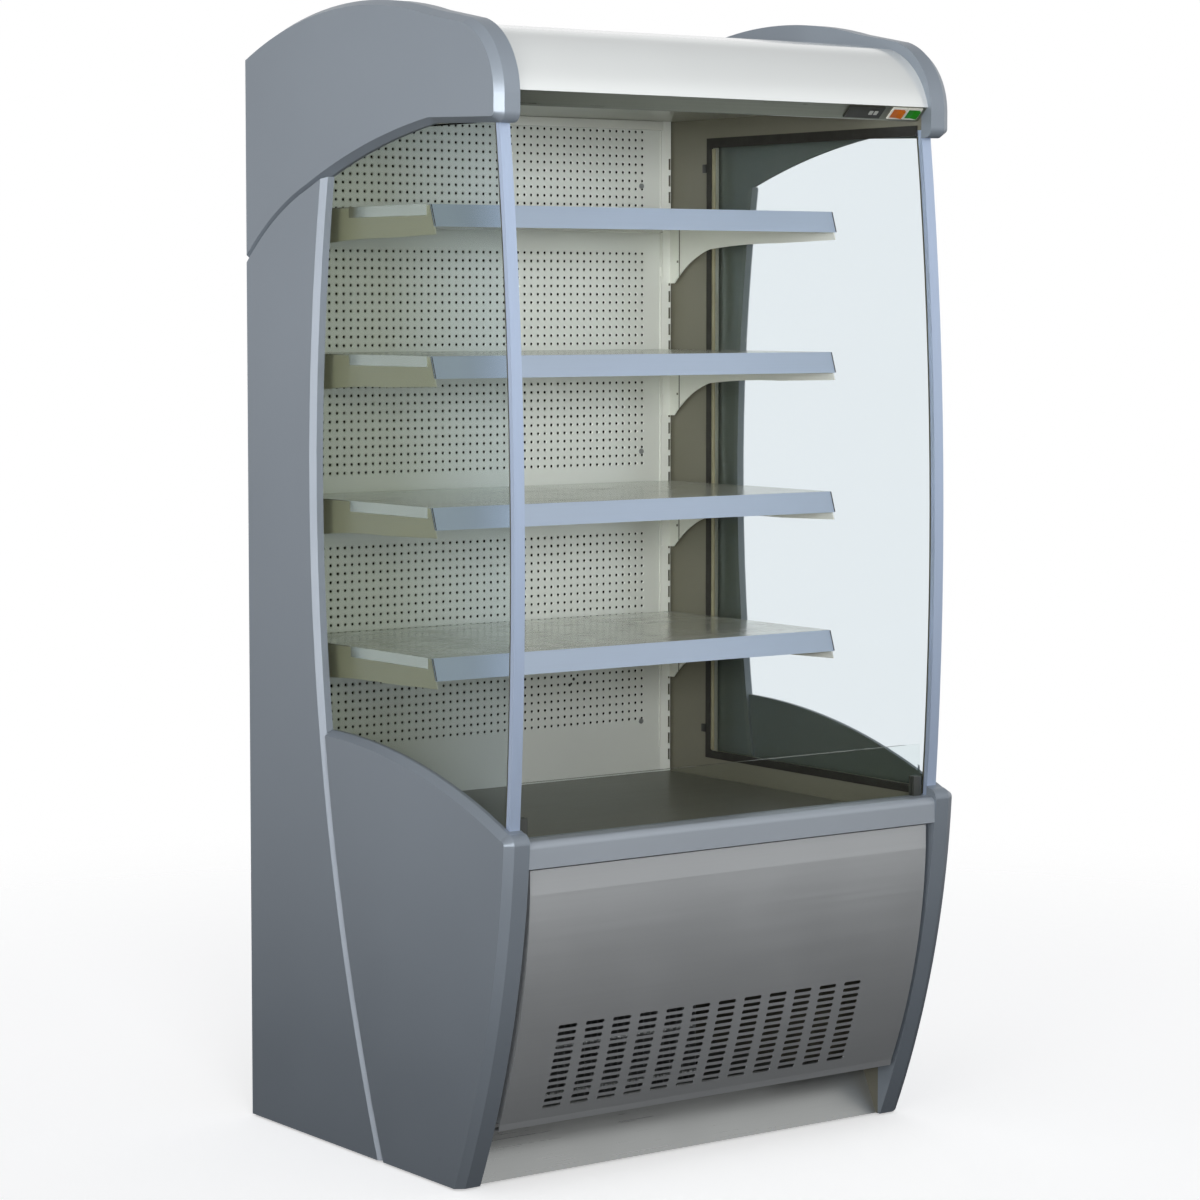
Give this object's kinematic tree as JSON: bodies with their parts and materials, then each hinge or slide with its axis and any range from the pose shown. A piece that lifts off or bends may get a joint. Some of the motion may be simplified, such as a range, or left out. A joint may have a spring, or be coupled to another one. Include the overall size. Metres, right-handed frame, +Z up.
{
  "type": "open multideck display fridge",
  "caption": "Upright open-front display fridge with glazed bowed sides, arched hood, hook-on shelves and a hinged slotted service panel in the base.",
  "frame": {"origin": "on the floor under the middle of the cabinet, at the bottom centre of its box", "axes": "+Z up, +X to the right of someone facing the front, the front faces -Y"},
  "size_m": [0.95, 0.805, 1.9499],
  "materials": {
    "skin_paint": "satin blue-grey powder coat",
    "trim_alu": "satin blue-grey anodised",
    "liner_paint": "satin beige-grey coat",
    "glass": "clear, faintly green",
    "black_rubber": "matte black",
    "white_paint": "glossy white coat",
    "dark_steel": "brushed stainless",
    "panel_steel": "brushed stainless",
    "dark_plastic": "matte black moulded",
    "key_grey": "matte grey",
    "orange": "translucent orange",
    "green": "translucent green",
    "lamp_white": "opal white",
    "zinc_steel": "zinc plated",
    "black_steel": "black enamel",
    "coil_alu": "plain aluminium fins"
  },
  "bodies": {
    "cabinet": {"air_honeycomb": "dark_plastic", "back_panel": "white_paint", "base_tub": "liner_paint", "cable_gland": "dark_plastic", "canopy_front": "white_paint", "canopy_nose": "dark_steel", "ceiling_lamp": "lamp_white", "ceiling_panel": "liner_paint", "chassis": "zinc_steel", "column_trims": "trim_alu", "compressor": "black_steel", "condenser": "coil_alu", "control_bezels": "dark_plastic", "evaporator": "coil_alu", "fan_plate": "dark_plastic", "fan_shroud": "dark_plastic", "front_rail": "trim_alu", "glass_gaskets": "black_rubber", "glass_posts": "trim_alu", "glass_spacers": "trim_alu", "hood_side_left": "skin_paint", "hood_side_right": "skin_paint", "kickplate": "panel_steel", "levelling_feet": "zinc_steel", "lower_side_left": "skin_paint", "lower_side_right": "skin_paint", "panel_pins": "zinc_steel", "panel_screws": "zinc_steel", "rear_grille": "zinc_steel", "rear_wall": "liner_paint", "riser_clamps": "dark_plastic", "riser_glass": "glass", "roof_wall": "liner_paint", "shelf_uprights": "white_paint", "side_column_left": "skin_paint", "side_column_right": "skin_paint", "side_glass": "glass", "side_walls": "liner_paint"},
    "service_door": {"service_panel": "panel_steel"},
    "deck": {"deck_tray": "dark_steel"},
    "air_grille": {"return_grille": "dark_steel"},
    "key_up_cap": {"key_up": "key_grey"},
    "key_down_cap": {"key_down": "key_grey"},
    "orange_switch": {"rocker_orange": "orange"},
    "green_switch": {"rocker_green": "green"},
    "condenser_fan_wheel": {"condenser_fan": "dark_plastic"},
    "evaporator_fan_wheel": {"evaporator_fan": "dark_plastic"},
    "brackets_1": {"shelf_brackets_1": "white_paint"},
    "shelf_1": {"shelf_tray_1": "dark_steel", "price_rail_1": "trim_alu"},
    "brackets_2": {"shelf_brackets_2": "white_paint"},
    "shelf_2": {"shelf_tray_2": "dark_steel", "price_rail_2": "trim_alu"},
    "brackets_3": {"shelf_brackets_3": "white_paint"},
    "shelf_3": {"shelf_tray_3": "dark_steel", "price_rail_3": "trim_alu"},
    "brackets_4": {"shelf_brackets_4": "white_paint"},
    "shelf_4": {"shelf_tray_4": "dark_steel", "price_rail_4": "trim_alu"}
  },
  "joints": [
    {"name": "shelf_1_unhook", "type": "slide", "parent": "cabinet", "child": "brackets_1", "axis": [0, 0, 1], "range_m": [0, 0.012]},
    {"name": "shelf_1_lift", "type": "slide", "parent": "brackets_1", "child": "shelf_1", "axis": [0, 0, 1], "range_m": [0, 0.04]},
    {"name": "shelf_2_unhook", "type": "slide", "parent": "cabinet", "child": "brackets_2", "axis": [0, 0, 1], "range_m": [0, 0.012]},
    {"name": "shelf_2_lift", "type": "slide", "parent": "brackets_2", "child": "shelf_2", "axis": [0, 0, 1], "range_m": [0, 0.04]},
    {"name": "shelf_3_unhook", "type": "slide", "parent": "cabinet", "child": "brackets_3", "axis": [0, 0, 1], "range_m": [0, 0.012]},
    {"name": "shelf_3_lift", "type": "slide", "parent": "brackets_3", "child": "shelf_3", "axis": [0, 0, 1], "range_m": [0, 0.04]},
    {"name": "shelf_4_unhook", "type": "slide", "parent": "cabinet", "child": "brackets_4", "axis": [0, 0, 1], "range_m": [0, 0.012]},
    {"name": "shelf_4_lift", "type": "slide", "parent": "brackets_4", "child": "shelf_4", "axis": [0, 0, 1], "range_m": [0, 0.04]},
    {"name": "service_panel_hinge", "type": "hinge", "parent": "cabinet", "child": "service_door", "pos_m": [0, -0.288, 0.114], "axis": [1, 0, 0], "range_deg": [0, 75]},
    {"name": "deck_tray_lift", "type": "slide", "parent": "cabinet", "child": "deck", "axis": [0, 0, 1], "range_m": [0, 0.035]},
    {"name": "return_grille_lift", "type": "slide", "parent": "cabinet", "child": "air_grille", "axis": [0, 0, 1], "range_m": [0, 0.035]},
    {"name": "key_up_press", "type": "slide", "parent": "cabinet", "child": "key_up_cap", "axis": [0, 0.666, 0.7459], "range_m": [0, 0.001], "stiffness_N_per_m": 400},
    {"name": "key_down_press", "type": "slide", "parent": "cabinet", "child": "key_down_cap", "axis": [0, 0.666, 0.7459], "range_m": [0, 0.001], "stiffness_N_per_m": 400},
    {"name": "rocker_orange_tilt", "type": "hinge", "parent": "cabinet", "child": "orange_switch", "pos_m": [0.371, -0.35626, 1.77334], "axis": [0, 0.7459, -0.666], "range_deg": [-14, 0]},
    {"name": "rocker_green_tilt", "type": "hinge", "parent": "cabinet", "child": "green_switch", "pos_m": [0.405, -0.35626, 1.77334], "axis": [0, 0.7459, -0.666], "range_deg": [-14, 0]},
    {"name": "condenser_fan_spin", "type": "hinge", "parent": "cabinet", "child": "condenser_fan_wheel", "pos_m": [-0.12, -0.1, 0.19], "axis": [0, 1, 0], "continuous": true},
    {"name": "evaporator_fan_spin", "type": "hinge", "parent": "cabinet", "child": "evaporator_fan_wheel", "pos_m": [0, 0.02, 0.4762], "axis": [0, 1, 0], "continuous": true}
  ]
}
